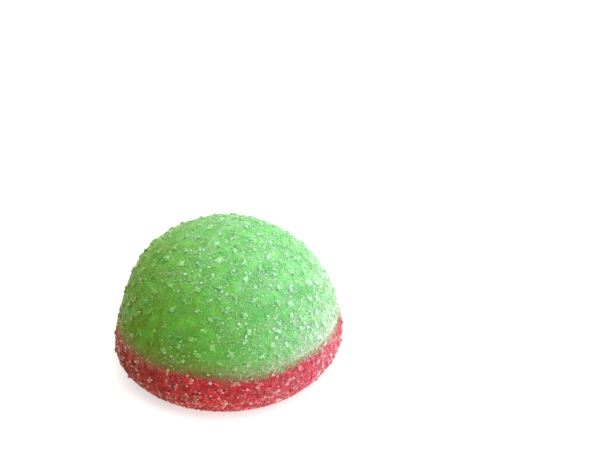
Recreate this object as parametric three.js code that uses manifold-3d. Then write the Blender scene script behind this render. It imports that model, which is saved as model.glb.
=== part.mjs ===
// A sugared jelly dome poured in two layers, green over red. Millimetres, Z up, the front faces -Y.
// It rests on its flat base at z = 0, and the origin is the middle of that base.
import * as THREE from "three";
import { mergeVertices } from "three/addons/utils/BufferGeometryUtils.js";
import Module from "manifold-3d";

// Driving dimensions of the regular form
const WIDTH = 29.8; // across the widest ring of the skin
const RING_HEIGHT = 3.6; // from the floor up to the widest ring
const DOME_RISE = 15.9; // from the widest ring up to the top
const DOME_ROUNDNESS = 2.01; // 2 gives an ellipse, more gives fuller shoulders
const CURL_DEPTH = 8.3; // how deep the lower curve would run if the base weren't flat
const CURL_ROUNDNESS = 1.74;
const RIM_FILLET = 0.7; // where the lower curve meets the flat base
const RED_HEIGHT = 6.9; // from the floor up to the line between the layers

// How the real candy departs from the regular form, with angles in degrees about the widest ring
const TOP_LEAN = 0.4; // sideways shift of the top
const SWELL_SPREAD = 20;
const SWELLS = [
  { azimuth: 147, elevation: 40, rise: 0.32 },
  { azimuth: 169, elevation: 16, rise: -0.4 },
  { azimuth: 110, elevation: 55, rise: 0.06 },
  { azimuth: 51, elevation: 50, rise: -0.12 },
  { azimuth: 17, elevation: 25, rise: 0.05 },
  { azimuth: -1, elevation: -2, rise: 0.16 },
  { azimuth: -46, elevation: -6, rise: -0.16 },
  { azimuth: 205, elevation: -6, rise: 0.15 },
  { azimuth: 252, elevation: 24, rise: 0.1 },
  { azimuth: -62, elevation: 38, rise: -0.1 },
];
const LINE_WANDER = [
  { turns: 2, rise: 0.14, azimuth: 5 },
  { turns: 4, rise: 0.19, azimuth: 64 },
  { turns: 7, rise: 0.12, azimuth: 48 },
];
const LINE_BAND = THREE.MathUtils.degToRad(9); // how far the wander is felt above and below the line

// The coarse sugar crystals, which stand out of both layers
const DOME_CRYSTALS = 212;
const BASE_CRYSTALS = 92;
const CRYSTAL_LENGTH = { least: 0.62, most: 1.05 };
const CRYSTAL_WIDTH_SHARE = { least: 0.6, most: 0.95 };
const CRYSTAL_HEIGHT_SHARE = { least: 0.5, most: 0.75 };
const CRYSTAL_TAPER = 0.68; // the outer face against the inner one
const CRYSTAL_JITTER = 0.16; // how far a crystal strays around the candy from its even place
const CRYSTAL_SUNK = 0.15; // how far the crystal's middle lies under the skin, as a share of its height
const CRYSTAL_TIP = THREE.MathUtils.degToRad(16); // the most that a crystal leans
const LINE_CLEARANCE = THREE.MathUtils.degToRad(3.6); // crystals keep off the line between the layers
const RIM_CLEARANCE = 1.1; // and off the floor
const GOLDEN_TURN = Math.PI * (3 - Math.sqrt(5));

// How finely the smooth skin is divided
const SECTORS = 64;
const DOME_RINGS = 15;
const BASE_RINGS = 5;
const FILLET_RINGS = 2;
const LINE_RINGS = 3;

const halfWidth = WIDTH / 2;
const footHalfWidth = halfWidth * (1 - (RING_HEIGHT / CURL_DEPTH) ** CURL_ROUNDNESS) ** (1 / CURL_ROUNDNESS);
const lineRise = RED_HEIGHT - RING_HEIGHT;
const lineHalfWidth = halfWidth * (1 - (lineRise / DOME_RISE) ** DOME_ROUNDNESS) ** (1 / DOME_ROUNDNESS);
const lineAngle = Math.atan2(lineRise, lineHalfWidth);
const footAngle = -Math.atan2(RING_HEIGHT, footHalfWidth);
const filletAngle = footAngle + RIM_FILLET / halfWidth;
const totalHeight = RING_HEIGHT + DOME_RISE;

const wasm = await Module();
wasm.setup();

// The same value between 0 and 1 on every run, from two whole numbers
function chance(index, salt) {
  const wave = Math.sin(index * 12.9898 + salt * 78.233) * 43758.5453;
  return wave - Math.floor(wave);
}

function between(range, share) {
  return THREE.MathUtils.lerp(range.least, range.most, share);
}

// A unit direction, seen from the middle of the widest ring
function direction(azimuth, elevation) {
  return new THREE.Vector3(
    Math.cos(azimuth) * Math.cos(elevation),
    Math.sin(azimuth) * Math.cos(elevation),
    Math.sin(elevation),
  );
}

// How far the regular form reaches at an angle above the widest ring
function reachAt(angle) {
  const depth = angle < 0 ? CURL_DEPTH : DOME_RISE;
  const roundness = angle < 0 ? CURL_ROUNDNESS : DOME_ROUNDNESS;
  const across = Math.cos(angle) / halfWidth;
  const upright = Math.abs(Math.sin(angle)) / depth;
  return (across ** roundness + upright ** roundness) ** (-1 / roundness);
}

function outlineAt(angle) {
  const reach = reachAt(angle);
  return new THREE.Vector2(reach * Math.cos(angle), RING_HEIGHT + reach * Math.sin(angle));
}

function outlineBetween(from, to, steps) {
  return Array.from({ length: steps + 1 }, (_, i) => outlineAt(THREE.MathUtils.lerp(from, to, i / steps)));
}

function lineWander(azimuth) {
  let rise = 0;
  for (const wave of LINE_WANDER) {
    rise += wave.rise * Math.cos(wave.turns * (azimuth - THREE.MathUtils.degToRad(wave.azimuth)));
  }
  return rise / lineHalfWidth;
}

function swellAt(azimuth, angle) {
  const here = direction(azimuth, angle);
  let rise = 0;
  for (const swell of SWELLS) {
    const middle = direction(
      THREE.MathUtils.degToRad(swell.azimuth),
      THREE.MathUtils.degToRad(swell.elevation),
    );
    const away = THREE.MathUtils.radToDeg(here.angleTo(middle)) / SWELL_SPREAD;
    rise += swell.rise * Math.exp(-away * away);
  }
  return rise;
}

// Moves a point of the regular form to where the uneven candy has it, and leaves the base flat
function settle(point) {
  const azimuth = Math.atan2(point.y, point.x);
  const level = point.z - RING_HEIGHT;
  const across = Math.hypot(point.x, point.y);
  const angle = Math.atan2(level, across);
  const depthShare = Math.hypot(level, across) / reachAt(angle);
  const offLine = (angle - lineAngle) / LINE_BAND;
  const moved = angle + lineWander(azimuth) * Math.exp(-offLine * offLine);
  const reach = depthShare * reachAt(moved);
  const grown = 1 + swellAt(azimuth, moved) / halfWidth;
  const wide = reach * Math.cos(moved) * grown;
  const high = reach * Math.sin(moved) * (moved > 0 ? grown : 1);
  point.set(wide * Math.cos(azimuth), wide * Math.sin(azimuth), RING_HEIGHT + high);
  point.x += (TOP_LEAN * point.z) / totalHeight;
  return point;
}

function skinPoint(azimuth, angle) {
  const outline = outlineAt(angle);
  return settle(
    new THREE.Vector3(outline.x * Math.cos(azimuth), outline.x * Math.sin(azimuth), outline.y),
  );
}

function skinNormal(azimuth, angle) {
  const step = 0.01;
  const sideways = skinPoint(azimuth + step, angle).sub(skinPoint(azimuth - step, angle));
  const upwards = skinPoint(azimuth, angle + step).sub(skinPoint(azimuth, angle - step));
  return sideways.cross(upwards).normalize();
}

// One closed layer: a regular turned form, settled into the uneven one. Both profiles start with the
// face the layers share, so that it is divided alike, and the one that then runs down is turned round.
function turnedLayer(profile) {
  const geometry = new THREE.LatheGeometry(profile, SECTORS).rotateX(Math.PI / 2);
  if (profile.at(-1).y < profile[0].y) {
    geometry.getIndex().array.reverse();
  }
  const position = geometry.getAttribute("position");
  const point = new THREE.Vector3();
  for (let i = 0; i < position.count; i++) {
    settle(point.fromBufferAttribute(position, i));
    position.setXYZ(i, point.x, point.y, point.z);
  }
  return solidFrom(geometry);
}

function solidFrom(geometry) {
  const bare = new THREE.BufferGeometry();
  bare.setAttribute("position", geometry.getAttribute("position"));
  bare.setIndex(geometry.getIndex());
  const merged = mergeVertices(bare, 1e-4);
  return new wasm.Manifold(
    new wasm.Mesh({
      numProp: 3,
      vertProperties: new Float32Array(merged.getAttribute("position").array),
      triVerts: new Uint32Array(merged.getIndex().array),
    }),
  );
}

function geometryFrom(solid) {
  const mesh = solid.getMesh();
  const geometry = new THREE.BufferGeometry();
  geometry.setAttribute("position", new THREE.BufferAttribute(new Float32Array(mesh.vertProperties), 3));
  geometry.setIndex(new THREE.BufferAttribute(new Uint32Array(mesh.triVerts), 1));
  geometry.computeVertexNormals();
  return geometry;
}

// The flat face where the layers meet, from the middle out to the skin
function lineFace() {
  return Array.from(
    { length: LINE_RINGS },
    (_, i) => new THREE.Vector2((lineHalfWidth * i) / LINE_RINGS, RED_HEIGHT),
  );
}

function redProfile() {
  const foot = new THREE.Vector2(footHalfWidth - RIM_FILLET, 0);
  const corner = new THREE.Vector2(footHalfWidth, 0);
  const fillet = new THREE.QuadraticBezierCurve(outlineAt(filletAngle), corner, foot);
  const side = outlineBetween(lineAngle, filletAngle, BASE_RINGS);
  return [...lineFace(), ...side, ...fillet.getPoints(FILLET_RINGS).slice(1), new THREE.Vector2(0, 0)];
}

function greenProfile() {
  const side = outlineBetween(lineAngle, Math.PI / 2, DOME_RINGS);
  side[DOME_RINGS].x = 0;
  return [...lineFace(), ...side];
}

// A blocky crystal, narrower outside, half sunk in the skin and turned its own way
function crystal(index, azimuth, angle) {
  const length = between(CRYSTAL_LENGTH, chance(index, 1) ** 2);
  const width = length * between(CRYSTAL_WIDTH_SHARE, chance(index, 2));
  const height = length * between(CRYSTAL_HEIGHT_SHARE, chance(index, 3));
  const geometry = new THREE.BoxGeometry(length, width, height);
  const position = geometry.getAttribute("position");
  for (let i = 0; i < position.count; i++) {
    if (position.getZ(i) > 0) {
      position.setX(i, position.getX(i) * CRYSTAL_TAPER);
      position.setY(i, position.getY(i) * CRYSTAL_TAPER);
    }
  }
  const normal = skinNormal(azimuth, angle);
  const upright = new THREE.Quaternion().setFromUnitVectors(new THREE.Vector3(0, 0, 1), normal);
  const turn = new THREE.Quaternion().setFromEuler(
    new THREE.Euler(
      CRYSTAL_TIP * (2 * chance(index, 4) - 1),
      CRYSTAL_TIP * (2 * chance(index, 5) - 1),
      Math.PI * chance(index, 6),
    ),
  );
  const middle = skinPoint(azimuth, angle).addScaledVector(normal, -CRYSTAL_SUNK * height);
  geometry.applyQuaternion(upright.multiply(turn));
  geometry.translate(middle.x, middle.y, middle.z);
  return solidFrom(geometry);
}

// Crystals spread evenly over the skin between two angles, on a golden spiral
function crystalsBetween(low, high, count, firstIndex) {
  return Array.from({ length: count }, (_, i) => {
    const index = firstIndex + i;
    const share = (i + chance(index, 7)) / count;
    const sine = THREE.MathUtils.lerp(Math.sin(low), Math.sin(high), share);
    const azimuth = i * GOLDEN_TURN + CRYSTAL_JITTER * (chance(index, 8) - 0.5);
    return crystal(index, azimuth, Math.asin(sine));
  });
}

function fuse(layer, crystals) {
  return crystals.reduce((whole, piece) => whole.add(piece), layer);
}

function greenDome() {
  const crystals = crystalsBetween(lineAngle + LINE_CLEARANCE, Math.PI / 2, DOME_CRYSTALS, 0);
  return fuse(turnedLayer(greenProfile()), crystals);
}

function redBase() {
  const lowest = -Math.asin((RING_HEIGHT - RIM_CLEARANCE) / halfWidth);
  const crystals = crystalsBetween(lowest, lineAngle - LINE_CLEARANCE, BASE_CRYSTALS, DOME_CRYSTALS);
  return fuse(turnedLayer(redProfile()), crystals);
}

function layerMesh(name, solid, color) {
  const material = new THREE.MeshStandardMaterial({ color, roughness: 0.55, metalness: 0 });
  const mesh = new THREE.Mesh(geometryFrom(solid), material);
  mesh.name = name;
  return mesh;
}

const candy = new THREE.Group();
candy.add(layerMesh("green_dome", greenDome(), 0x78c162));
candy.add(layerMesh("red_base", redBase(), 0xb84244));

export default candy;
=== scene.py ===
from math import atan2, cos, pi, radians, sin, sqrt

import bmesh
import bpy
import numpy as np
from mathutils import Matrix, Vector


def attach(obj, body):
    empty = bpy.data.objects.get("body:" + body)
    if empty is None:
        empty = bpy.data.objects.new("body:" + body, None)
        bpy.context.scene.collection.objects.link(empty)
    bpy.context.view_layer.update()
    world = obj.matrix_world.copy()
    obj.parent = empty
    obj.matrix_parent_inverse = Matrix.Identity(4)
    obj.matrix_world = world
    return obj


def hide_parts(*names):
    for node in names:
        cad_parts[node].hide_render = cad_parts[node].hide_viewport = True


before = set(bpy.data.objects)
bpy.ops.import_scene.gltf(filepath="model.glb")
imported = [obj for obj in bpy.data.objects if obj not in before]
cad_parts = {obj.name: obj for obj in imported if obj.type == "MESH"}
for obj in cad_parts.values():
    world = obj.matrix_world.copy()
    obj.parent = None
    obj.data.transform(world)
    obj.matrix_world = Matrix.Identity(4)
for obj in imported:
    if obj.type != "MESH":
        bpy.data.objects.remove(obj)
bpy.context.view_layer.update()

mm = 0.001

# The candy's form, the same as the solids': sizes in millimetres, angles about the widest ring
form = {
    "halfWidth": 14.9,
    "ringHeight": 3.6,
    "domeRise": 15.9,
    "domeRoundness": 2.01,
    "curlDepth": 8.3,
    "curlRoundness": 1.74,
    "redHeight": 6.9,
    "topLean": 0.4,
    "swellSpread": 20,
    "lineBand": radians(9),
}
swells = [  # azimuth, elevation, rise
    (147, 40, 0.32),
    (169, 16, -0.4),
    (110, 55, 0.06),
    (51, 50, -0.12),
    (17, 25, 0.05),
    (-1, -2, 0.16),
    (-46, -6, -0.16),
    (205, -6, 0.15),
    (252, 24, 0.1),
    (-62, 38, -0.1),
]
lineWaves = [  # turns, rise, azimuth
    (2, 0.14, 5),
    (4, 0.19, 64),
    (7, 0.12, 48),
]


def directions(azimuth, elevation):
    flat = np.cos(elevation)
    return np.stack([flat * np.cos(azimuth), flat * np.sin(azimuth), np.sin(elevation)], axis=-1)


def reachAt(angle):
    depth = np.where(angle < 0, form["curlDepth"], form["domeRise"])
    roundness = np.where(angle < 0, form["curlRoundness"], form["domeRoundness"])
    across = np.cos(angle) / form["halfWidth"]
    upright = np.abs(np.sin(angle)) / depth
    reach = (across ** roundness + upright ** roundness) ** (-1 / roundness)
    downward = np.maximum(-np.sin(angle), 1e-6)
    return np.where(angle < 0, np.minimum(reach, form["ringHeight"] / downward), reach)


def lineAngle():
    rise = form["redHeight"] - form["ringHeight"]
    share = 1 - (rise / form["domeRise"]) ** form["domeRoundness"]
    return atan2(rise, form["halfWidth"] * share ** (1 / form["domeRoundness"]))


def lineWander(azimuth):
    rise = sum(high * np.cos(turns * (azimuth - radians(start))) for turns, high, start in lineWaves)
    return rise / (reachAt(np.array(lineAngle())) * cos(lineAngle()))


def swellAt(azimuth, angle):
    here = directions(azimuth, angle)
    rise = 0
    for middleAzimuth, elevation, high in swells:
        middle = directions(radians(middleAzimuth), radians(elevation))
        away = np.degrees(np.arccos(np.clip(here @ middle, -1, 1))) / form["swellSpread"]
        rise = rise + high * np.exp(-away * away)
    return rise


# Points of the skin in metres; the layers meet where angle is lineAngle(). A positive out lifts them.
def skin(azimuth, angle, out=0.0):
    offLine = (angle - lineAngle()) / form["lineBand"]
    moved = angle + lineWander(azimuth) * np.exp(-offLine * offLine)
    reach = reachAt(moved)
    grown = 1 + (swellAt(azimuth, moved) + out) / form["halfWidth"]
    wide = reach * np.cos(moved) * grown
    high = form["ringHeight"] + reach * np.sin(moved) * np.where(moved > 0, grown, 1)
    totalHeight = form["ringHeight"] + form["domeRise"]
    x = wide * np.cos(azimuth) + form["topLean"] * high / totalHeight
    return np.stack([x, wide * np.sin(azimuth), high], axis=-1) * mm


def skinNormals(azimuth, angle):
    step = 0.01
    sideways = skin(azimuth + step, angle) - skin(azimuth - step, angle)
    upwards = skin(azimuth, angle + step) - skin(azimuth, angle - step)
    normals = np.cross(sideways, upwards)
    return normals / np.linalg.norm(normals, axis=-1, keepdims=True)


# How far points lie above the line between the layers, in millimetres
def gapToLine(points):
    azimuth = np.arctan2(points[:, 1], points[:, 0])
    return (points[:, 2] - skin(azimuth, np.full(len(points), lineAngle()))[:, 2]) / mm


# A soft uneven relief from a few crossed waves, between about -1 and 1
waves = {"count": 14, "stretch": (0.7, 1.5)}


def ripple(points, wavelength, seed):
    draw = np.random.default_rng(seed)
    total = 0
    for _ in range(waves["count"]):
        direction = draw.normal(size=3)
        direction /= np.linalg.norm(direction)
        length = wavelength * mm * draw.uniform(*waves["stretch"])
        total = total + np.sin(points @ direction * (2 * pi / length) + draw.uniform(0, 2 * pi))
    return total / sqrt(waves["count"])


def give(mesh, name, values, domain="POINT"):
    attribute = mesh.attributes.new(name, "FLOAT", domain)
    attribute.data.foreach_set("value", np.asarray(values, dtype=np.float32))


def giveVectors(mesh, name, vectors):
    attribute = mesh.attributes.new(name, "FLOAT_VECTOR", "POINT")
    attribute.data.foreach_set("vector", np.asarray(vectors, dtype=np.float32).ravel())


def linked(name, mesh, material):
    obj = bpy.data.objects.new(name, mesh)
    bpy.context.scene.collection.objects.link(obj)
    mesh.materials.append(material)
    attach(obj, "root")
    return obj


# Seeds of the random draws
seeds = {
    "greenLayer": 11,
    "redLayer": 12,
    "fineSugarOnGreen": 21,
    "fineSugarOnRed": 31,
    "mediumSugarOnGreen": 41,
    "mediumSugarOnRed": 51,
}

# One layer of jelly: a fine ball cut at the line, drawn out to the candy's form
jelly = {
    "divisions": 7,
    "coatDepth": 0.08,
    "relief": 0.035,
    "wavelength": 1.7,
    "footHeight": 0.6,
    "footRadius": 11.5,
    "footSmoothing": 4,
}


def jellyLayer(name, keepUpper, material):
    ball = bmesh.new()
    bmesh.ops.create_icosphere(ball, subdivisions=jelly["divisions"], radius=1)
    cut = Vector((0, 0, sin(lineAngle())))
    parts = ball.verts[:] + ball.edges[:] + ball.faces[:]
    bmesh.ops.bisect_plane(
        ball, geom=parts, dist=1e-5, plane_co=cut, plane_no=(0, 0, 1),
        clear_inner=keepUpper, clear_outer=not keepUpper,
    )
    rim = [edge for edge in ball.edges if edge.is_boundary]
    lid = bmesh.ops.holes_fill(ball, edges=rim)["faces"]
    middle = bmesh.ops.poke(ball, faces=lid)["verts"][0]
    middle.co = (0, 0, 0)
    ball.verts.ensure_lookup_table()
    ball.verts.index_update()
    unit = np.array([vertex.co for vertex in ball.verts])
    azimuth = np.arctan2(unit[:, 1], unit[:, 0])
    angle = np.arctan2(unit[:, 2], np.hypot(unit[:, 0], unit[:, 1]))
    smooth = skin(azimuth, angle, -jelly["coatDepth"])
    relief = ripple(smooth, jelly["wavelength"], seeds[name]) * jelly["relief"]
    relief *= np.clip(gapToLine(smooth) ** 2, 0, 1)
    points = skin(azimuth, angle, relief - jelly["coatDepth"])
    points[:, 2] = np.maximum(points[:, 2], 0)
    points[middle.index] = (0, 0, form["redHeight"] * mm)
    for vertex, point in zip(ball.verts, points):
        vertex.co = point
    foot = [
        vertex for vertex in ball.verts
        if vertex.co.z < jelly["footHeight"] * mm and vertex.co.xy.length > jelly["footRadius"] * mm
    ]
    for _ in range(jelly["footSmoothing"]):
        bmesh.ops.smooth_vert(
            ball, verts=foot, factor=0.5, use_axis_x=True, use_axis_y=True, use_axis_z=True,
        )
    bmesh.ops.recalc_face_normals(ball, faces=ball.faces[:])
    for face in ball.faces:
        face.smooth = True
    mesh = bpy.data.meshes.new(name)
    ball.to_mesh(mesh)
    ball.free()
    give(mesh, "aboveLine", gapToLine(np.array([vertex.co for vertex in mesh.vertices])))
    return linked(name, mesh, material)


# Closed shapes of unit size, as arrays of corners and faces
def shapeArrays(shape):
    bmesh.ops.recalc_face_normals(shape, faces=shape.faces[:])
    shape.verts.index_update()
    corners = np.array([vertex.co for vertex in shape.verts])
    faces = [[vertex.index for vertex in face.verts] for face in shape.faces]
    shape.free()
    return corners, faces


# A chamfered block
def crystalShape(chamfer):
    block = bmesh.new()
    bmesh.ops.create_cube(block, size=1)
    bmesh.ops.bevel(
        block, geom=block.edges[:], offset=chamfer, offset_type="OFFSET", segments=1,
        profile=0.5, affect="EDGES", material=-1,
    )
    return shapeArrays(block)


# Two four-sided pyramids, base to base
def grainShape():
    grain = bmesh.new()
    bmesh.ops.create_circle(grain, segments=4, radius=0.5, cap_ends=True)
    peak = bmesh.ops.poke(grain, faces=grain.faces[:])["verts"][0]
    peak.co.z = 0.5
    parts = grain.verts[:] + grain.edges[:] + grain.faces[:]
    bmesh.ops.mirror(grain, geom=parts, axis="Z", merge_dist=0.001)
    return shapeArrays(grain)


# Turns that stand each crystal on the skin, tipped and spun its own way
def turnsFor(normals, tipX, tipY, spin):
    turns = np.empty((len(normals), 3, 3))
    for i, normal in enumerate(normals):
        upright = Vector((0, 0, 1)).rotation_difference(Vector(normal)).to_matrix()
        tipped = Matrix.Rotation(tipX[i], 3, "X") @ Matrix.Rotation(tipY[i], 3, "Y")
        turns[i] = upright @ tipped @ Matrix.Rotation(spin[i], 3, "Z")
    return turns


# Painted highlights: how white a crystal's faces are painted as glints, a share of the slanted ones
# strongly, and a few of the large ones
paintedGlints = {"squareness": 0.95, "slanted": 1.0, "large": 0.6, "largePower": 4}


# 1 for a crystal's small slanted faces, 0 for its large ones
def slantOf(corners):
    normal = np.cross(corners[1] - corners[0], corners[2] - corners[1])
    return float(np.abs(normal).max() < paintedGlints["squareness"] * np.linalg.norm(normal))


# Joins many crystals into one mesh. sizes are length, width and height in millimetres.
def crystalMesh(name, kind, shape, middles, normals, turns, sizes, taper, clarity, seed):
    draw = np.random.default_rng(seed)
    corners, faces = shape
    count = len(middles)
    local = np.repeat(corners[None], count, axis=0)
    local = local + draw.uniform(-kind["unevenness"], kind["unevenness"], local.shape)
    narrowing = np.where(local[:, :, 2:] > 0, taper[:, None, None], 1)
    local[:, :, :2] *= narrowing
    local *= sizes[:, None, :] * mm
    points = np.einsum("nij,nkj->nki", turns, local) + middles[:, None, :]
    points = points.reshape(-1, 3)
    points[:, 2] = np.maximum(points[:, 2], 0)
    lengths = np.array([len(face) for face in faces])
    loops = np.concatenate(faces)
    offsets = np.arange(count)[:, None] * len(corners)
    mesh = bpy.data.meshes.new(name)
    mesh.vertices.add(len(points))
    mesh.vertices.foreach_set("co", points.astype(np.float32).ravel())
    mesh.loops.add(len(loops) * count)
    mesh.loops.foreach_set("vertex_index", (loops[None] + offsets).astype(np.int32).ravel())
    mesh.polygons.add(len(faces) * count)
    starts = np.concatenate([[0], np.cumsum(np.tile(lengths, count))[:-1]])
    mesh.polygons.foreach_set("loop_start", starts.astype(np.int32))
    mesh.update(calc_edges=True)
    if kind["smooth"]:
        mesh.shade_smooth()
    else:
        mesh.shade_flat()
    give(mesh, "aboveLine", np.repeat(gapToLine(middles), len(corners)))
    give(mesh, "clarity", np.repeat(clarity, len(corners)))
    give(mesh, "tone", np.repeat(draw.uniform(0, 1, count), len(corners)))
    giveVectors(mesh, "skinNormal", np.repeat(normals, len(corners), axis=0))
    if not kind["smooth"]:
        # Painted glints: a white share on some faces, standing in for highlights
        slanted = np.array([slantOf(corners[face]) for face in faces])
        luck = draw.uniform(0, 1, (count, len(faces)))
        onSlanted = np.where(luck < kind["paintedGlintShare"], paintedGlints["slanted"] - luck, 0)
        onLarge = paintedGlints["large"] * luck ** paintedGlints["largePower"]
        give(mesh, "paintedGlint", (onSlanted * slanted + onLarge * (1 - slanted)).ravel(), "FACE")
    return mesh


# Where sugar lies thicker and thinner, and how white the few crystals painted as sparkles are
patches = {
    "wavelength": 6,
    "seed": 5,
    "veil": 0.35,
    "veilRange": (0.3, 2),
    "scatter": 0.8,
    "paintedSparkleClarity": (0.3, 1),
}
goldenTurn = pi * (3 - sqrt(5))
poleGap = 0.002  # keeps sugar off the very top, where azimuth means nothing
flattest = 0.05  # least cosine that a stray is divided by


# Sugar spread evenly between two angles, strayed from a golden spiral by a share of its spacing
def sugarCoat(name, kind, low, high, material):
    draw = np.random.default_rng(seeds[name])
    count = kind["count"]
    index = np.arange(count)
    sine = np.interp((index + 0.5) / count, [0, 1], [sin(low), sin(high)])
    angle = np.arcsin(sine)
    spacing = sqrt(2 * pi * (sin(high) - sin(low)) / count)
    aside = draw.normal(0, kind["stray"], count) * spacing / np.maximum(np.cos(angle), flattest)
    azimuth = index * goldenTurn + aside
    highest = min(high, pi / 2 - poleGap)
    angle = np.clip(angle + draw.normal(0, kind["stray"], count) * spacing, low, highest)
    shortest, longest = kind["length"]
    length = shortest + (longest - shortest) * draw.uniform(0, 1, count) ** kind["skew"]
    width = length * draw.uniform(*kind["widthShare"], count)
    height = length * draw.uniform(*kind["heightShare"], count)
    normals = skinNormals(azimuth, angle)
    middles = skin(azimuth, angle, -jelly["coatDepth"]) + normals * (kind["lift"] * height * mm)[:, None]
    middles[:, 2] = np.maximum(middles[:, 2], 0.5 * length * mm)
    turns = turnsFor(
        normals, draw.normal(0, kind["tip"], count), draw.normal(0, kind["tip"], count),
        draw.uniform(0, 2 * pi, count),
    )
    patch = ripple(middles, patches["wavelength"], patches["seed"])
    thickness = np.clip(1 + patches["veil"] * patch, *patches["veilRange"])
    clarity = draw.beta(*kind["clarity"], count) * thickness
    # A few crystals are painted white as sparkles, a painted highlight
    paintedSparkles = draw.uniform(0, 1, count) < kind["paintedSparkleShare"]
    clarity = np.where(paintedSparkles, draw.uniform(*patches["paintedSparkleClarity"], count), clarity)
    sizes = np.stack([length, width, height], axis=-1)
    kept = patch + draw.normal(0, patches["scatter"], count) > kind["sparseness"]
    taper = draw.uniform(*kind["taper"], kept.sum())
    mesh = crystalMesh(
        name, kind, kind["shape"], middles[kept], normals[kept], turns[kept], sizes[kept], taper,
        clarity[kept], seeds[name] + 1,
    )
    return linked(name, mesh, material)


# The coarse crystals stand where the solids have them, each with a few smaller ones grown on it
coarse = {
    "domeCount": 212,
    "baseCount": 92,
    "seed": 61,
    "length": (0.62, 1.05),
    "widthShare": (0.6, 0.95),
    "heightShare": (0.5, 0.75),
    "taper": 0.68,
    "jitter": 0.16,
    "sunk": 0.15,
    "tip": radians(16),
    "lineClearance": radians(3.6),
    "rimClearance": 1.1,
    "chamfer": 0.17,
    "unevenness": 0.07,
    "smooth": False,
    "paintedGlintShare": 0.55,
    "clarity": 0.05,
    "clarityRange": 0.12,
    "paintedLightAtRight": 0.2,
    "grownCount": 4,
    "grownLength": (0.22, 0.42),
    "grownSides": (0.6, 1),
    "grownReach": 0.5,
    "grownFlatness": 0.5,
    "grownTip": 0.6,
    "grownClarity": (0.7, 2.3),
}


# What makes chance jump about, and a salt for each use of it, the same as the solids'
scramble = {"index": 12.9898, "salt": 78.233, "stretch": 43758.5453}
salts = {
    "length": 1,
    "width": 2,
    "height": 3,
    "tipX": 4,
    "tipY": 5,
    "spin": 6,
    "rise": 7,
    "jitter": 8,
    "clarity": 9,
}


# A number from 0 to 1 that an index always gets for the same use
def chance(index, use):
    wave = np.sin(index * scramble["index"] + salts[use] * scramble["salt"]) * scramble["stretch"]
    return wave - np.floor(wave)


def coarseSugar(name, count, firstIndex, low, high, material):
    place = np.arange(count)
    index = place + firstIndex
    share = (place + chance(index, "rise")) / count
    angle = np.arcsin(sin(low) + (sin(high) - sin(low)) * share)
    azimuth = place * goldenTurn + coarse["jitter"] * (chance(index, "jitter") - 0.5)
    length = np.interp(chance(index, "length") ** 2, [0, 1], coarse["length"])
    width = length * np.interp(chance(index, "width"), [0, 1], coarse["widthShare"])
    height = length * np.interp(chance(index, "height"), [0, 1], coarse["heightShare"])
    normals = skinNormals(azimuth, angle)
    middles = skin(azimuth, angle) - normals * (coarse["sunk"] * height * mm)[:, None]
    turns = turnsFor(
        normals, coarse["tip"] * (2 * chance(index, "tipX") - 1),
        coarse["tip"] * (2 * chance(index, "tipY") - 1), pi * chance(index, "spin"),
    )
    # Painted light: the coarse crystals are whiter toward the lit right
    atRight = np.clip(middles[:, 0] / (form["halfWidth"] * mm), 0, 1)
    clarity = coarse["clarity"] + coarse["clarityRange"] * chance(index, "clarity") ** 2
    clarity = clarity + coarse["paintedLightAtRight"] * atRight
    sizes = np.stack([length, width, height], axis=-1)
    draw = np.random.default_rng(firstIndex + coarse["seed"])
    grown = count * coarse["grownCount"]
    owner = np.repeat(place, coarse["grownCount"])
    offset = draw.uniform(-1, 1, (grown, 3))
    offset /= np.abs(offset).max(axis=1, keepdims=True)
    offset[:, 2] *= coarse["grownFlatness"]
    offset *= sizes[owner] * coarse["grownReach"] * mm
    grownMiddles = middles[owner] + np.einsum("nij,nj->ni", turns[owner], offset)
    grownLength = draw.uniform(*coarse["grownLength"], grown)
    grownSizes = grownLength[:, None] * draw.uniform(*coarse["grownSides"], (grown, 3))
    grownTurns = turnsFor(
        normals[owner], draw.normal(0, coarse["grownTip"], grown),
        draw.normal(0, coarse["grownTip"], grown), draw.uniform(0, 2 * pi, grown),
    )
    mesh = crystalMesh(
        name, coarse, crystalShape(coarse["chamfer"]), np.concatenate([middles, grownMiddles]),
        np.concatenate([normals, normals[owner]]), np.concatenate([turns, grownTurns]),
        np.concatenate([sizes, grownSizes]), np.full(count + grown, coarse["taper"]),
        np.concatenate([clarity, draw.beta(*coarse["grownClarity"], grown)]), firstIndex,
    )
    return linked(name, mesh, material)


# Material nodes
def newMaterial(name):
    material = bpy.data.materials.new(name)
    material.use_nodes = True
    tree = material.node_tree
    shader = tree.nodes["Principled BSDF"]
    return material, tree, shader


def node(tree, kind, **settings):
    made = tree.nodes.new(kind)
    for key, value in settings.items():
        setattr(made, key, value)
    return made


def attributeNode(tree, name):
    return node(tree, "ShaderNodeAttribute", attribute_name=name).outputs["Fac"]


def noiseNode(tree, scale, detail):
    place = node(tree, "ShaderNodeTexCoord")
    noise = node(tree, "ShaderNodeTexNoise")
    noise.inputs["Scale"].default_value = scale
    noise.inputs["Detail"].default_value = detail
    tree.links.new(place.outputs["Object"], noise.inputs["Vector"])
    return noise.outputs["Fac"]


def mathNode(tree, operation, first, second):
    made = node(tree, "ShaderNodeMath", operation=operation)
    for socket, value in zip(made.inputs, (first, second)):
        if isinstance(value, (int, float)):
            socket.default_value = value
        else:
            tree.links.new(value, socket)
    return made.outputs[0]


def times(tree, first, second):
    return mathNode(tree, "MULTIPLY", first, second)


def plus(tree, first, second):
    return mathNode(tree, "ADD", first, second)


# A mixture of two colours. Blender's node has its colour inputs at 6 and 7 and its result at 2.
def mixNode(tree, factor, first, second):
    made = node(tree, "ShaderNodeMix", data_type="RGBA")
    for socket, value in ((made.inputs[0], factor), (made.inputs[6], first), (made.inputs[7], second)):
        if isinstance(value, tuple):
            socket.default_value = (*value, 1)
        else:
            tree.links.new(value, socket)
    return made.outputs[2]


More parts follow.
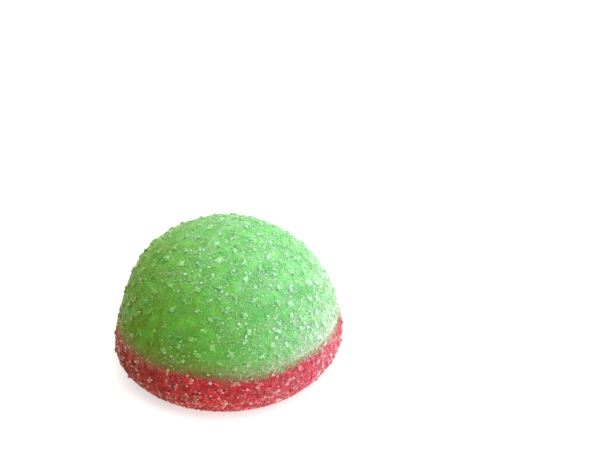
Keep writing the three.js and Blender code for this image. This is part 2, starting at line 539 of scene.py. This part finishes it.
# stops are positions with the names of dyes
def rampNode(tree, factor, stops):
    made = node(tree, "ShaderNodeValToRGB")
    ramp = made.color_ramp
    while len(ramp.elements) < len(stops):
        ramp.elements.new(0.5)
    for element, (position, name) in zip(ramp.elements, stops):
        element.position = position
        element.color = (*dye[name], 1)
    tree.links.new(factor, made.inputs[0])
    return made.outputs[0]


def rangeNode(tree, value, low, high):
    made = node(tree, "ShaderNodeMapRange")
    made.inputs["From Min"].default_value = low
    made.inputs["From Max"].default_value = high
    tree.links.new(value, made.inputs["Value"])
    return made.outputs["Result"]


# A noise that rises from 0 to 1 over its range
def patchy(tree, kind):
    return rangeNode(tree, noiseNode(tree, kind["scale"], kind["detail"]), *kind["range"])


# Where a point lies along an axis, from 0 at low to 1 at high
def shareAlong(tree, axis, low, high):
    place = node(tree, "ShaderNodeTexCoord")
    split = node(tree, "ShaderNodeSeparateXYZ")
    tree.links.new(place.outputs["Object"], split.inputs[0])
    return rangeNode(tree, split.outputs[axis], low, high)


# The candy's reach in metres, between which the looks change
extent = {"side": 0.0145, "height": 0.0195}


# 0 at the candy's left, 1 at its right
def rightward(tree):
    return shareAlong(tree, "X", -extent["side"], extent["side"])


# 0 at the candy's foot, 1 at its top
def upward(tree):
    return shareAlong(tree, "Z", 0.0, extent["height"])


# The share of white sugar over the jelly, and with it painted light: most toward the lit right and on the
# very top, middling at the back
frostAndPaintedLight = {
    "most": 0.57,
    "sideways": 0.5,
    "sidewaysPower": 2.6,
    "slant": 0.7,
    "slantMiddle": 0.5,
    "upward": 0.175,
    "upwardPower": 3.2,
    "behind": 0.13,
    "behindRange": (0.005, 0.014),
}


def frostingAndPaintedLight(tree):
    height = upward(tree)
    slanted = times(tree, mathNode(tree, "SUBTRACT", frostAndPaintedLight["slantMiddle"], height), frostAndPaintedLight["slant"])
    rightwards = mathNode(tree, "MAXIMUM", plus(tree, rightward(tree), slanted), 0)
    sideways = times(tree, mathNode(tree, "POWER", rightwards, frostAndPaintedLight["sidewaysPower"]), frostAndPaintedLight["sideways"])
    above = times(tree, mathNode(tree, "POWER", height, frostAndPaintedLight["upwardPower"]), frostAndPaintedLight["upward"])
    seen = mathNode(tree, "MINIMUM", plus(tree, sideways, above), frostAndPaintedLight["most"])
    behind = times(tree, shareAlong(tree, "Y", *frostAndPaintedLight["behindRange"]), frostAndPaintedLight["behind"])
    return mathNode(tree, "MAXIMUM", seen, behind)


# Colours are linear
dye = {
    "shadedOliveGreen": (0.115, 0.262, 0.006),
    "green": (0.115, 0.485, 0.03),
    "litMint": (0.09, 0.57, 0.1),
    "deepGreen": (0.045, 0.37, 0.04),
    "fleck": (0.24, 0.56, 0.06),
    "litOlive": (0.33, 0.38, 0.15),
    "litBrown": (0.42, 0.15, 0.11),
    "olive": (0.2, 0.175, 0.025),
    "brown": (0.36, 0.09, 0.04),
    "shadedBrownRed": (0.38, 0.036, 0.012),
    "red": (0.74, 0.012, 0.032),
    "rose": (0.63, 0.022, 0.058),
    "paintedShadowRed": (0.15, 0.002, 0.01),
    "sugarOnGreen": (0.8, 0.98, 0.74),
    "strawSugar": (0.66, 0.86, 0.34),
    "clearSugar": (0.76, 0.96, 0.92),
    "paleSugar": (0.84, 0.88, 0.52),
    "beigeSugar": (0.9, 0.64, 0.44),
    "rosySugar": (0.78, 0.53, 0.56),
    "dimPaper": (0.53, 0.53, 0.53),
    "paper": (0.57, 0.57, 0.57),
}
dyeAndLightStops = {  # positions and colours from the candy's shaded left, darker there as painted shade, to its lit right, where the greens, browns and olives are paler as painted light
    "green": [(0.1, "shadedOliveGreen"), (0.45, "green"), (0.9, "litMint")],
    "red": [(0.05, "shadedBrownRed"), (0.45, "red"), (0.95, "rose")],
    "brown": [(0.4, "brown"), (0.9, "litBrown")],
    "olive": [(0.4, "olive"), (0.9, "litOlive")],
}
climb = {"middle": 0.45, "share": 0.3}  # painted light: the top takes on the lit right's green, the foot the shaded left's
lineBlend = {  # millimetres above the line
    "red": -1.2,
    "brown": -0.6,
    "olive": -0.05,
    "greenFrom": -0.2,
    "green": 1.9,
}
wander = {  # how far the line, in millimetres, and the greens stray
    "line": {"scale": 900, "detail": 3, "width": 1.6},
    "green": {"scale": 800, "detail": 2, "width": 0.55},
}
dyeAndShadePatches = {  # uneven dye, and painted shade: dark patches between the red's grains, fading out toward the lit right
    "cloud": {"scale": 400, "detail": 2, "range": (0.5, 0.72), "share": 0.6},
    "fleck": {"scale": 1500, "detail": 2, "range": (0.5, 0.72), "share": 0.22},
    "shade": {"scale": 1100, "detail": 2, "range": (0.4, 0.62), "share": 0.85, "fade": 1.05},
}


# A noise that strays to both sides of 0
def wandering(tree, name):
    noiseMiddle = 0.5
    noise = noiseNode(tree, wander[name]["scale"], wander[name]["detail"])
    return times(tree, mathNode(tree, "SUBTRACT", noise, noiseMiddle), wander[name]["width"])


def patchShare(tree, name):
    return times(tree, patchy(tree, dyeAndShadePatches[name]), dyeAndShadePatches[name]["share"])


# The jelly's colour: red below the line, green above, softly mixed and clouded by uneven dye, with painted
# light and shade: the green turns olive and the red brown toward the shaded left, and the colours pale
# toward the lit right
def jellyColour(tree):
    rightwards = rightward(tree)
    climbing = times(tree, mathNode(tree, "SUBTRACT", upward(tree), climb["middle"]), climb["share"])
    place = plus(tree, rightwards, plus(tree, wandering(tree, "green"), climbing))
    green = rampNode(tree, place, dyeAndLightStops["green"])
    clouded = mixNode(tree, patchShare(tree, "cloud"), green, dye["deepGreen"])
    flecked = mixNode(tree, patchShare(tree, "fleck"), clouded, dye["fleck"])
    fading = mathNode(tree, "SUBTRACT", dyeAndShadePatches["shade"]["fade"], rightwards)
    red = rampNode(tree, rightwards, dyeAndLightStops["red"])
    shaded = mixNode(tree, times(tree, patchShare(tree, "shade"), fading), red, dye["paintedShadowRed"])
    brown = rampNode(tree, rightwards, dyeAndLightStops["brown"])
    olive = rampNode(tree, rightwards, dyeAndLightStops["olive"])
    height = plus(tree, attributeNode(tree, "aboveLine"), wandering(tree, "line"))
    toBrown = rangeNode(tree, height, lineBlend["red"], lineBlend["brown"])
    toOlive = rangeNode(tree, height, lineBlend["brown"], lineBlend["olive"])
    toGreen = rangeNode(tree, height, lineBlend["greenFrom"], lineBlend["green"])
    lower = mixNode(tree, toBrown, shaded, brown)
    middle = mixNode(tree, toOlive, lower, olive)
    return mixNode(tree, toGreen, middle, flecked)


# White sugar takes a little colour from the jelly below it, with painted light: the first, warmer dye on
# the shaded left, the second, cooler dye on the lit right and on the top
tingeAndPaintedLight = {"upward": 0.5, "upwardPower": 3, "from": 0.35, "to": 0.85}


def whiteColour(tree, names):
    high = times(tree, mathNode(tree, "POWER", upward(tree), tingeAndPaintedLight["upwardPower"]), tingeAndPaintedLight["upward"])
    place = plus(tree, rightward(tree), high)
    return rampNode(tree, place, [(tingeAndPaintedLight["from"], names[0]), (tingeAndPaintedLight["to"], names[1])])


# Between the grains lies sugar too fine to tell apart, as an uneven white veil; it grows with the frosting,
# so it is painted lighter toward the lit right and top
powder = {
    "green": {"white": ("strawSugar", "sugarOnGreen"), "share": 1.75, "least": 0.0},
    "red": {"white": ("beigeSugar", "rosySugar"), "share": 0.4, "least": 0.06},
    "speckle": {"scale": 2400, "detail": 2, "range": (0.25, 0.75)},
    "patch": {"scale": 700, "detail": 1, "range": (0.0, 0.6)},
    "most": 0.9,
}


def dustedJellyWithPaintedLight(tree, layer):
    dust = powder[layer]
    uneven = times(tree, patchy(tree, powder["speckle"]), patchy(tree, powder["patch"]))
    share = times(tree, plus(tree, frostingAndPaintedLight(tree), dust["least"]), dust["share"])
    veil = mathNode(tree, "MINIMUM", times(tree, uneven, share), powder["most"])
    return mixNode(tree, veil, jellyColour(tree), whiteColour(tree, dust["white"]))


# Light glows through the jelly; its skin is dull, with fine pits
gel = {
    "glow": 0.8,
    "glowDepth": 0.0012,
    "glowColour": {"green": (0.6, 1.0, 0.4), "red": (1.0, 0.35, 0.3)},
    "gloss": 0.1,
    "roughness": 0.5,
    "pitScale": 3200,
    "pitDetail": 3,
    "pitStrength": 0.3,
    "pitDepth": 0.0001,
}


def jellyMaterial(name, layer):
    material, tree, shader = newMaterial(name)
    tree.links.new(dustedJellyWithPaintedLight(tree, layer), shader.inputs["Base Color"])
    shader.inputs["Subsurface Weight"].default_value = gel["glow"]
    shader.inputs["Subsurface Radius"].default_value = gel["glowColour"][layer]
    shader.inputs["Subsurface Scale"].default_value = gel["glowDepth"]
    shader.inputs["Specular IOR Level"].default_value = gel["gloss"]
    shader.inputs["Roughness"].default_value = gel["roughness"]
    bump = node(tree, "ShaderNodeBump")
    bump.inputs["Strength"].default_value = gel["pitStrength"]
    bump.inputs["Distance"].default_value = gel["pitDepth"]
    tree.links.new(noiseNode(tree, gel["pitScale"], gel["pitDetail"]), bump.inputs["Height"])
    tree.links.new(bump.outputs["Normal"], shader.inputs["Normal"])
    return material


# The direction straight out of the skin below a crystal
def skinward(tree):
    given = node(tree, "ShaderNodeAttribute", attribute_name="skinNormal")
    turned = node(
        tree, "ShaderNodeVectorTransform", vector_type="NORMAL", convert_from="OBJECT", convert_to="WORLD",
    )
    tree.links.new(given.outputs["Vector"], turned.inputs[0])
    return turned.outputs[0]


# A shading normal between a crystal's own and the skin's, because light spreads inside sugar
def softNormal(tree, share):
    own = node(tree, "ShaderNodeNewGeometry").outputs["Normal"]
    mixed = node(tree, "ShaderNodeMix", data_type="VECTOR")
    mixed.inputs[0].default_value = share
    tree.links.new(own, mixed.inputs[4])
    tree.links.new(skinward(tree), mixed.inputs[5])
    unit = node(tree, "ShaderNodeVectorMath", operation="NORMALIZE")
    tree.links.new(mixed.outputs[1], unit.inputs[0])
    return unit.outputs[0]


# 1 on faces that lie along the skin, 0 on steep sides, which show the jelly through them
def facing(tree, least, most):
    along = node(tree, "ShaderNodeVectorMath", operation="DOT_PRODUCT")
    tree.links.new(node(tree, "ShaderNodeNewGeometry").outputs["Normal"], along.inputs[0])
    tree.links.new(skinward(tree), along.inputs[1])
    return rangeNode(tree, along.outputs["Value"], least, most)


# What each kind of sugar looks like. Its white grows with the frosting and its painted light, from least
# upwards, and least falls to the given left share of itself at the candy's left, as painted shade on the
# shaded side.
looks = {
    "frostOnGreen": {
        "layer": "green", "white": ("strawSugar", "sugarOnGreen"), "whiteness": 4.0, "least": 0.07,
        "shadedLeftShare": 0.6, "clump": {"scale": 1300, "detail": 1, "range": (0.2, 0.6)}, "paintedGlint": 0,
        "softness": 0.75, "facing": (-0.2, 0.7), "gloss": 0.03, "roughness": 0.5, "toneRange": 0.2,
        "glow": 0.7, "glowDepth": 0.0003,
    },
    "frostOnRed": {
        "layer": "red", "white": ("beigeSugar", "rosySugar"), "whiteness": 4.4, "least": 0.11,
        "shadedLeftShare": 1, "clump": {"scale": 1250, "detail": 1, "range": (0.47, 0.66)}, "paintedGlint": 0,
        "softness": 0.5, "facing": (0.1, 0.8), "gloss": 0.03, "roughness": 0.5, "toneRange": 0.7,
        "glow": 0.5, "glowDepth": 0.0003,
    },
    "sugarOnGreen": {
        "layer": "green", "white": ("paleSugar", "clearSugar"), "whiteness": 4.0, "least": 0.135,
        "shadedLeftShare": 0.4, "clump": {"scale": 2300, "detail": 1, "range": (0.2, 0.6)}, "paintedGlint": 0.4,
        "softness": 0.75, "facing": (-0.2, 0.7), "gloss": 0.3, "roughness": 0.25, "toneRange": 0.2,
        "glow": 0.7, "glowDepth": 0.0003,
    },
    "sugarOnRed": {
        "layer": "red", "white": ("beigeSugar", "rosySugar"), "whiteness": 4.4, "least": 0.28,
        "shadedLeftShare": 1, "clump": {"scale": 1300, "detail": 1, "range": (0.3, 0.58)}, "paintedGlint": 0.5,
        "softness": 0.6, "facing": (0.1, 0.8), "gloss": 0.3, "roughness": 0.25, "toneRange": 0.3,
        "glow": 0.7, "glowDepth": 0.0003,
    },
}
sugar = {"whitest": 0.82, "refraction": 1.5, "glowColour": (1, 1, 1), "leftRange": (-0.0145, -0.004)}


def sugarMaterial(name):
    look = looks[name]
    material, tree, shader = newMaterial(name)
    # Painted shade: the least white falls toward the candy's shaded left
    gained = look["least"] * (1 - look["shadedLeftShare"])
    inward = times(tree, shareAlong(tree, "X", *sugar["leftRange"]), gained)
    least = plus(tree, inward, look["least"] * look["shadedLeftShare"])
    # The frosting brings painted light: whiter sugar toward the lit right and top
    spread = times(tree, plus(tree, frostingAndPaintedLight(tree), least), look["whiteness"])
    white = times(tree, attributeNode(tree, "clarity"), spread)
    white = times(tree, white, patchy(tree, look["clump"]))
    # Painted highlights: the glint share is mixed in as white
    paintedGlint = times(tree, attributeNode(tree, "paintedGlint"), look["paintedGlint"])
    white = mathNode(tree, "MINIMUM", mathNode(tree, "MAXIMUM", white, paintedGlint), sugar["whitest"])
    white = times(tree, white, facing(tree, *look["facing"]))
    tinted = mixNode(tree, white, dustedJellyWithPaintedLight(tree, look["layer"]), whiteColour(tree, look["white"]))
    tone = times(tree, attributeNode(tree, "tone"), look["toneRange"])
    toned = node(tree, "ShaderNodeVectorMath", operation="SCALE")
    tree.links.new(tinted, toned.inputs[0])
    tree.links.new(plus(tree, tone, 1 - look["toneRange"] / 2), toned.inputs["Scale"])
    tree.links.new(toned.outputs[0], shader.inputs["Base Color"])
    tree.links.new(softNormal(tree, look["softness"]), shader.inputs["Normal"])
    shader.inputs["Roughness"].default_value = look["roughness"]
    shader.inputs["IOR"].default_value = sugar["refraction"]
    shader.inputs["Subsurface Weight"].default_value = look["glow"]
    shader.inputs["Subsurface Radius"].default_value = sugar["glowColour"]
    shader.inputs["Subsurface Scale"].default_value = look["glowDepth"]
    shader.inputs["Specular IOR Level"].default_value = look["gloss"]
    return material


greenLayer = jellyLayer("greenLayer", True, jellyMaterial("greenJelly", "green"))
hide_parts("green_dome")
redLayer = jellyLayer("redLayer", False, jellyMaterial("redJelly", "red"))
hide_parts("red_base")
print("jelly layers made")

# Two kinds of spread sugar. Lengths are in millimetres.
fineSugar = {
    "shape": grainShape(),
    "count": 24000,
    "length": (0.2, 0.36),
    "skew": 1.4,
    "widthShare": (0.62, 1),
    "heightShare": (0.4, 0.65),
    "taper": (0.6, 0.95),
    "unevenness": 0.1,
    "smooth": True,
    "stray": 0.38,
    "lift": 0.04,
    "tip": radians(14),
    "clarity": (2.6, 7.2),
    "paintedSparkleShare": 0.009,
    "sparseness": -100,
}
mediumSugar = {
    "shape": crystalShape(chamfer=0.16),
    "count": 2400,
    "length": (0.25, 0.42),
    "skew": 1.6,
    "widthShare": (0.62, 1),
    "heightShare": (0.35, 0.6),
    "taper": (0.6, 0.95),
    "unevenness": 0.05,
    "smooth": False,
    "paintedGlintShare": 0.3,
    "stray": 0.42,
    "lift": 0.12,
    "tip": radians(18),
    "clarity": (0.7, 4.2),
    "paintedSparkleShare": 0.12,
    "sparseness": 0.1,
}
baseShare = 0.5  # of the dome's count, for the base's smaller skin
fineOnRed = {
    **fineSugar,
    "count": int(fineSugar["count"] * baseShare),
    "length": (0.22, 0.46),
    "clarity": (2.4, 7.2),
}
mediumOnRed = {
    **mediumSugar,
    "count": int(mediumSugar["count"] * baseShare),
    "length": (0.26, 0.5),
    "lift": 0.0,
    "clarity": (0.7, 2.4),
    "paintedSparkleShare": 0.05,
    "sparseness": -0.4,
}

# The foot's edge in millimetres, and the angles about the widest ring between which the sugar lies
footEdge = {"radius": 13.1, "height": 0.25}
foot = -atan2(form["ringHeight"] - footEdge["height"], footEdge["radius"])
line = lineAngle()
top = pi / 2
coarseFoot = -np.arcsin((form["ringHeight"] - coarse["rimClearance"]) / form["halfWidth"])
gap = coarse["lineClearance"]
domeCount = coarse["domeCount"]

frostOnGreen = sugarMaterial("frostOnGreen")
frostOnRed = sugarMaterial("frostOnRed")
sugarOnGreen = sugarMaterial("sugarOnGreen")
sugarOnRed = sugarMaterial("sugarOnRed")
pieces = [
    sugarCoat("fineSugarOnGreen", fineSugar, line, top, frostOnGreen),
    sugarCoat("fineSugarOnRed", fineOnRed, foot, line, frostOnRed),
    sugarCoat("mediumSugarOnGreen", mediumSugar, line, top, sugarOnGreen),
    sugarCoat("mediumSugarOnRed", mediumOnRed, foot, line, sugarOnRed),
    coarseSugar("coarseSugarOnGreen", domeCount, 0, line + gap, top, sugarOnGreen),
    coarseSugar("coarseSugarOnRed", coarse["baseCount"], domeCount, coarseFoot, line - gap, sugarOnRed),
]
print("sugar made,", sum(len(piece.data.polygons) for piece in pieces), "faces")

# The photograph's frame and view
picture = {"width": 610, "height": 450, "candyX": 226.3, "candyY": 306.1, "metresPerPixel": 0.000131}
viewpoint = {
    "elevation": radians(33),
    "roll": radians(2),
    "distance": 0.3118,
    "aimHeight": 0.00786,
    "sensor": 36,
    "nearest": 0.01,
    "farthest": 10,
}


def makeCamera():
    back = Vector((0, -cos(viewpoint["elevation"]), sin(viewpoint["elevation"])))
    right = Vector((1, 0, 0))
    up = back.cross(right)
    rolledRight = right * cos(viewpoint["roll"]) - up * sin(viewpoint["roll"])
    rolledUp = right * sin(viewpoint["roll"]) + up * cos(viewpoint["roll"])
    aim = Vector((0, 0, viewpoint["aimHeight"]))
    place = aim + back * viewpoint["distance"]
    aside = (picture["width"] / 2 - picture["candyX"]) * picture["metresPerPixel"]
    above = (picture["candyY"] - picture["height"] / 2) * picture["metresPerPixel"]
    target = aim + rolledRight * aside + rolledUp * above
    axis = (place - target).normalized()
    side = rolledUp.cross(axis).normalized()
    upright = axis.cross(side)
    data = bpy.data.cameras.new("photoCamera")
    data.sensor_width = viewpoint["sensor"]
    data.lens = data.sensor_width * viewpoint["distance"] / (picture["width"] * picture["metresPerPixel"])
    data.clip_start = viewpoint["nearest"]
    data.clip_end = viewpoint["farthest"]
    camera = bpy.data.objects.new("photoCamera", data)
    bpy.context.scene.collection.objects.link(camera)
    camera.matrix_world = Matrix.Translation(place) @ Matrix((side, upright, axis)).transposed().to_4x4()
    bpy.context.scene.camera = camera


# Soft lights at a distance in metres from the candy, azimuths counted from its right
lamps = {
    "keyLight": {
        "azimuth": -12, "elevation": 31, "distance": 0.6, "size": 0.9, "power": 5.5, "colour": (0.96, 1, 1),
    },
    "topLight": {
        "azimuth": 120, "elevation": 80, "distance": 0.8, "size": 1.0, "power": 5.9, "colour": (1, 1, 0.98),
    },
}


def makeLamp(name):
    lamp = lamps[name]
    data = bpy.data.lights.new(name, "AREA")
    data.shape = "DISK"
    data.size = lamp["size"]
    data.energy = lamp["power"]
    data.color = lamp["colour"]
    light = bpy.data.objects.new(name, data)
    bpy.context.scene.collection.objects.link(light)
    towards = Vector(directions(radians(lamp["azimuth"]), radians(lamp["elevation"])))
    light.location = towards * lamp["distance"] + Vector((0, 0, viewpoint["aimHeight"]))
    light.rotation_mode = "QUATERNION"
    light.rotation_quaternion = towards.to_track_quat("Z", "Y")


# A sheet of pale paper just under the candy, which shines a little
ground = {
    "size": 3,
    "below": 0.00002,
    "fibreScale": 40,
    "fibreDetail": 4,
    "fibres": [(0.0, "dimPaper"), (1.0, "paper")],
    "roughness": 0.9,
    "gloss": 0.1,
    "shine": 0.6,
}


def makeFloor():
    material, tree, shader = newMaterial("paleFloor")
    fibres = rampNode(tree, noiseNode(tree, ground["fibreScale"], ground["fibreDetail"]), ground["fibres"])
    tree.links.new(fibres, shader.inputs["Base Color"])
    shader.inputs["Roughness"].default_value = ground["roughness"]
    shader.inputs["Specular IOR Level"].default_value = ground["gloss"]
    shader.inputs["Emission Color"].default_value = (1, 1, 1, 1)
    shader.inputs["Emission Strength"].default_value = ground["shine"]
    sheet = bmesh.new()
    bmesh.ops.create_grid(sheet, x_segments=1, y_segments=1, size=ground["size"])
    mesh = bpy.data.meshes.new("floor")
    sheet.to_mesh(mesh)
    sheet.free()
    mesh.materials.append(material)
    floor = bpy.data.objects.new("floor", mesh)
    floor.location = (0, 0, -ground["below"])
    bpy.context.scene.collection.objects.link(floor)


room = {"colour": (1.0, 0.97, 0.92, 1), "strength": 0.38}


def makeWorld():
    world = bpy.data.worlds.new("softRoom")
    bpy.context.scene.world = world
    world.use_nodes = True
    background = world.node_tree.nodes["Background"]
    background.inputs["Color"].default_value = room["colour"]
    background.inputs["Strength"].default_value = room["strength"]


makeCamera()
makeFloor()
makeWorld()
for name in lamps:
    makeLamp(name)
bpy.context.scene.view_settings.view_transform = "Standard"
print("stage made")
